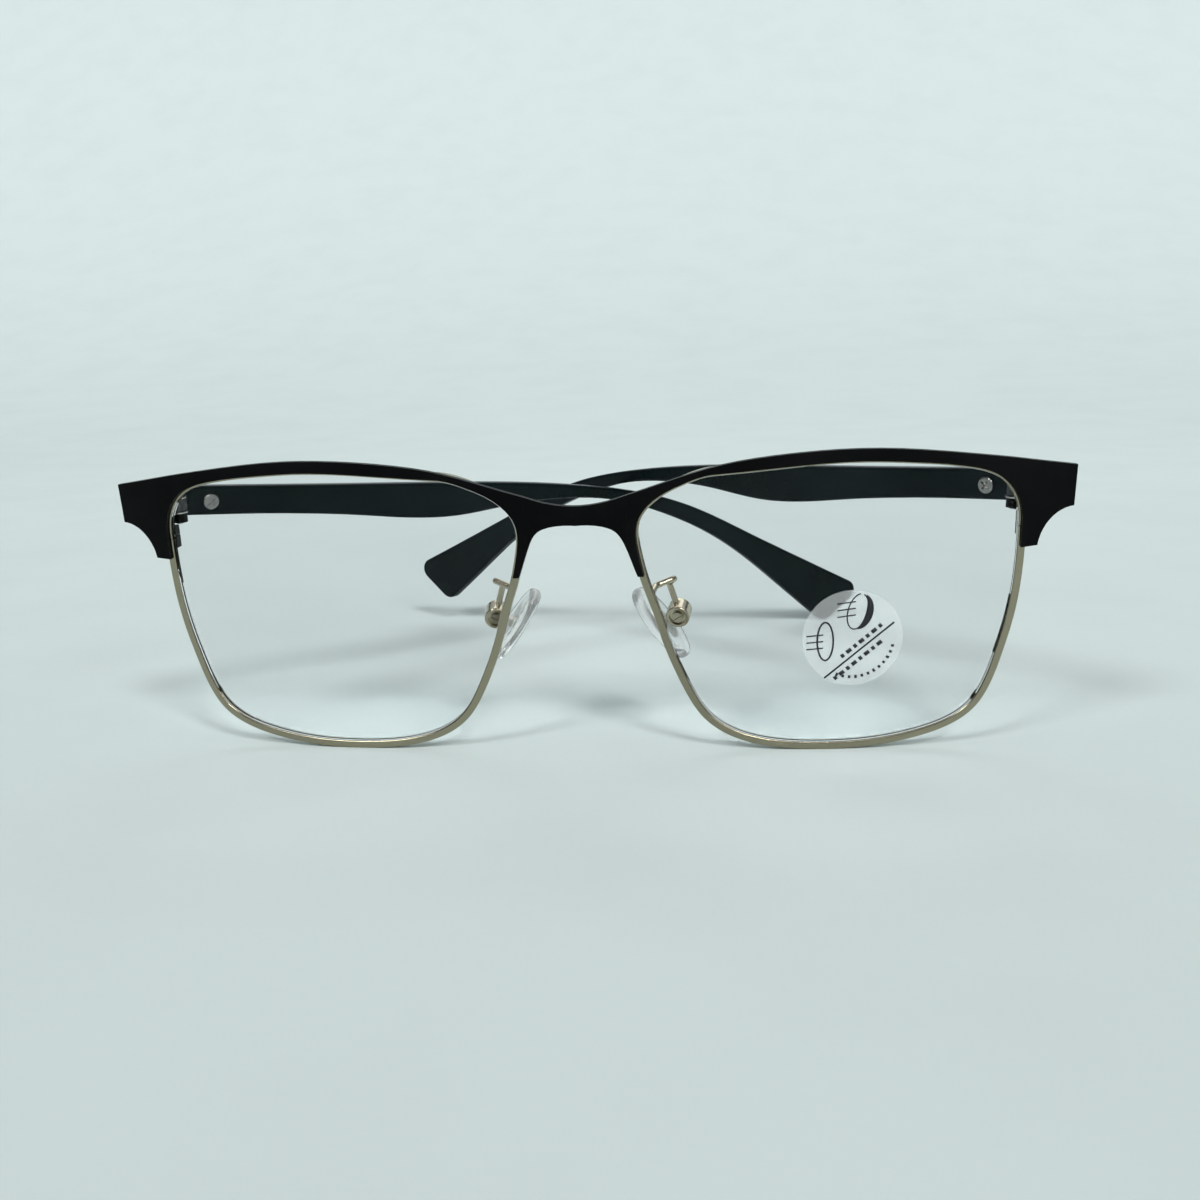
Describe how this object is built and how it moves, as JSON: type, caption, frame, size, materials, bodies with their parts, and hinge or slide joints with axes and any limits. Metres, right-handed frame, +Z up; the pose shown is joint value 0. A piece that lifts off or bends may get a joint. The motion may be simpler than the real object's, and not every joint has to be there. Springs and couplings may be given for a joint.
{
  "type": "half rim eyeglasses",
  "caption": "Eyeglasses with a black brow plate over slim bare eyewires, clear lenses, silicone nose pads on wire arms and folding paddle tip temples",
  "frame": {"origin": "middle of the bounding box at the level of the surface the glasses stand on, with the temples folded part way", "axes": "+X to the wearer's left along the width of the front, +Y to the back from the lenses to the temple tips, +Z up"},
  "size_m": [0.1408, 0.0995, 0.0447],
  "materials": {
    "brow_black": "satin black paint on stamped metal, soft sheen",
    "rim_champagne": "polished pale champagne plating on a drawn wire",
    "hinge_black": "black paint on small machined metal blocks",
    "screw_steel": "bright turned steel",
    "temple_black_green": "dark blue green plastic with a satin surface",
    "pad_metal": "polished pale gold plating",
    "pad_core": "plain stamped metal inside the pad",
    "pad_silicone": "clear soft silicone, slightly cloudy",
    "lens_clear": "clear polished lens",
    "sticker_clear": "clear film sticker with plain printed marks"
  },
  "bodies": {
    "front": {"brow_plate": "brow_black", "lens_sticker": "sticker_clear", "right_eyewire": "rim_champagne", "right_lens": "lens_clear", "right_front_hinge": "hinge_black", "right_end_piece": "brow_black", "right_upper_hinge_washer": "screw_steel", "right_lower_hinge_washer": "screw_steel", "right_hinge_pin": "screw_steel", "right_upper_rim_lock": "hinge_black", "right_lower_rim_lock": "hinge_black", "right_rim_lock_screw": "screw_steel", "right_pad_box": "pad_metal", "right_pad_screw": "pad_metal", "right_pad_arm": "pad_metal", "left_eyewire": "rim_champagne", "left_lens": "lens_clear", "left_front_hinge": "hinge_black", "left_end_piece": "brow_black", "left_upper_hinge_washer": "screw_steel", "left_lower_hinge_washer": "screw_steel", "left_hinge_pin": "screw_steel", "left_upper_rim_lock": "hinge_black", "left_lower_rim_lock": "hinge_black", "left_rim_lock_screw": "screw_steel", "left_pad_box": "pad_metal", "left_pad_screw": "pad_metal", "left_pad_arm": "pad_metal"},
    "right_temple": {"right_temple_hinge": "hinge_black", "right_temple": "temple_black_green", "right_temple_screw": "screw_steel"},
    "left_temple": {"left_temple_hinge": "hinge_black", "left_temple": "temple_black_green", "left_temple_screw": "screw_steel"},
    "right_pad": {"right_pad_mount": "pad_core", "right_nose_pad": "pad_silicone"},
    "left_pad": {"left_pad_mount": "pad_core", "left_nose_pad": "pad_silicone"}
  },
  "joints": [
    {"name": "right_temple_fold", "type": "hinge", "parent": "front", "child": "right_temple", "pos_m": [-0.063, -0.03948, 0.03769], "axis": [0.0244, -0.0871, 0.9959], "range_deg": [-34, 52]},
    {"name": "left_temple_fold", "type": "hinge", "parent": "front", "child": "left_temple", "pos_m": [0.0628, -0.03948, 0.03769], "axis": [-0.0244, 0.0871, -0.9959], "range_deg": [-31, 50.8]},
    {"name": "right_pad_rock", "type": "hinge", "parent": "front", "child": "right_pad", "pos_m": [-0.01407, -0.03834, 0.0196], "axis": [0.1133, -0.9456, -0.3048], "range_deg": [-10, 10]},
    {"name": "left_pad_rock", "type": "hinge", "parent": "front", "child": "left_pad", "pos_m": [0.01407, -0.03834, 0.0196], "axis": [0.1133, 0.9456, 0.3048], "range_deg": [-10, 10]}
  ]
}
